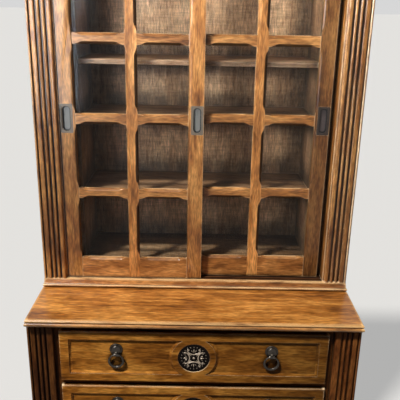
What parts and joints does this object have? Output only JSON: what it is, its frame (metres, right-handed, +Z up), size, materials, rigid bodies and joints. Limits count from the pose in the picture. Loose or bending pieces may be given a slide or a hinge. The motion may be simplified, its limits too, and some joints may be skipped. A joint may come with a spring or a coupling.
{
  "type": "hutch cabinet",
  "caption": "Glazed upper case with sliding lattice doors and finger pulls on a deeper chest of drawers with ring pulls, rosettes and reeded pilasters.",
  "frame": {"origin": "centre of the footprint on the floor", "axes": "-Y is the front, +X is to the right seen from the front, +Z is up"},
  "size_m": [1.171, 0.572, 2.063],
  "materials": {
    "honey_wood": "satin honey-brown finish with dark glaze and worn edges",
    "inner_wood": "matt brown stain",
    "drawer_wood": "plain pale wood",
    "track_wood": "dark waxed hardwood",
    "aged_pewter": "aged pewter-grey casting",
    "dark_bronze": "dark aged casting with worn highlights",
    "glass": "clear polished sheet"
  },
  "bodies": {
    "case": {"base_side_left": "honey_wood", "base_pilaster_left": "honey_wood", "hutch_side_left": "honey_wood", "hutch_pilaster_left": "honey_wood", "base_lining_left": "inner_wood", "hutch_lining_left": "inner_wood", "base_side_right": "honey_wood", "base_pilaster_right": "honey_wood", "hutch_side_right": "honey_wood", "hutch_pilaster_right": "honey_wood", "base_lining_right": "inner_wood", "hutch_lining_right": "inner_wood", "base_bottom": "honey_wood", "drawer_divider_1": "honey_wood", "drawer_divider_2": "honey_wood", "base_top_rail": "honey_wood", "plinth": "honey_wood", "base_top": "honey_wood", "waist_board": "honey_wood", "cornice": "honey_wood", "base_back": "inner_wood", "hutch_floor": "inner_wood", "shelf_lower": "inner_wood", "shelf_middle": "inner_wood", "shelf_upper": "inner_wood", "hutch_top": "inner_wood", "hutch_back": "inner_wood", "lower_track": "track_wood"},
    "drawer_1": {"drawer_1_front": "honey_wood", "drawer_1_box": "drawer_wood", "drawer_1_rosette": "dark_bronze", "drawer_1_rose_left": "aged_pewter", "drawer_1_rose_right": "aged_pewter"},
    "drawer_1_ring_left": {"drawer_1_ring_left": "aged_pewter"},
    "drawer_1_ring_right": {"drawer_1_ring_right": "aged_pewter"},
    "drawer_2": {"drawer_2_front": "honey_wood", "drawer_2_box": "drawer_wood", "drawer_2_rosette": "dark_bronze", "drawer_2_rose_left": "aged_pewter", "drawer_2_rose_right": "aged_pewter"},
    "drawer_2_ring_left": {"drawer_2_ring_left": "aged_pewter"},
    "drawer_2_ring_right": {"drawer_2_ring_right": "aged_pewter"},
    "drawer_3": {"drawer_3_front": "honey_wood", "drawer_3_box": "drawer_wood", "drawer_3_rosette": "dark_bronze", "drawer_3_rose_left": "aged_pewter", "drawer_3_rose_right": "aged_pewter"},
    "drawer_3_ring_left": {"drawer_3_ring_left": "aged_pewter"},
    "drawer_3_ring_right": {"drawer_3_ring_right": "aged_pewter"},
    "door_left": {"door_left_outer_stile": "honey_wood", "door_left_inner_stile": "honey_wood", "door_left_lattice": "honey_wood", "door_left_glass": "glass", "flush_pull_left_outer": "aged_pewter", "flush_pull_left_inner": "aged_pewter"},
    "door_right": {"door_right_outer_stile": "honey_wood", "door_right_inner_stile": "honey_wood", "door_right_lattice": "honey_wood", "door_right_glass": "glass", "flush_pull_right_outer": "aged_pewter"}
  },
  "joints": [
    {"name": "drawer_1_slide", "type": "slide", "parent": "case", "child": "drawer_1", "axis": [0, -1, 0], "range_m": [0, 0.37]},
    {"name": "drawer_1_ring_left_swing", "type": "hinge", "parent": "drawer_1", "child": "drawer_1_ring_left", "pos_m": [-0.2577, -0.2688, 0.647], "axis": [-1, 0, 0], "range_deg": [0, 90]},
    {"name": "drawer_1_ring_right_swing", "type": "hinge", "parent": "drawer_1", "child": "drawer_1_ring_right", "pos_m": [0.2577, -0.2688, 0.647], "axis": [-1, 0, 0], "range_deg": [0, 90]},
    {"name": "drawer_2_slide", "type": "slide", "parent": "case", "child": "drawer_2", "axis": [0, -1, 0], "range_m": [0, 0.37]},
    {"name": "drawer_2_ring_left_swing", "type": "hinge", "parent": "drawer_2", "child": "drawer_2_ring_left", "pos_m": [-0.2577, -0.2688, 0.439], "axis": [-1, 0, 0], "range_deg": [0, 90]},
    {"name": "drawer_2_ring_right_swing", "type": "hinge", "parent": "drawer_2", "child": "drawer_2_ring_right", "pos_m": [0.2577, -0.2688, 0.439], "axis": [-1, 0, 0], "range_deg": [0, 90]},
    {"name": "drawer_3_slide", "type": "slide", "parent": "case", "child": "drawer_3", "axis": [0, -1, 0], "range_m": [0, 0.37]},
    {"name": "drawer_3_ring_left_swing", "type": "hinge", "parent": "drawer_3", "child": "drawer_3_ring_left", "pos_m": [-0.2577, -0.2688, 0.231], "axis": [-1, 0, 0], "range_deg": [0, 90]},
    {"name": "drawer_3_ring_right_swing", "type": "hinge", "parent": "drawer_3", "child": "drawer_3_ring_right", "pos_m": [0.2577, -0.2688, 0.231], "axis": [-1, 0, 0], "range_deg": [0, 90]},
    {"name": "door_left_slide", "type": "slide", "parent": "case", "child": "door_left", "axis": [1, 0, 0], "range_m": [0, 0.434]},
    {"name": "door_right_slide", "type": "slide", "parent": "case", "child": "door_right", "axis": [1, 0, 0], "range_m": [-0.421, 0.012]}
  ]
}
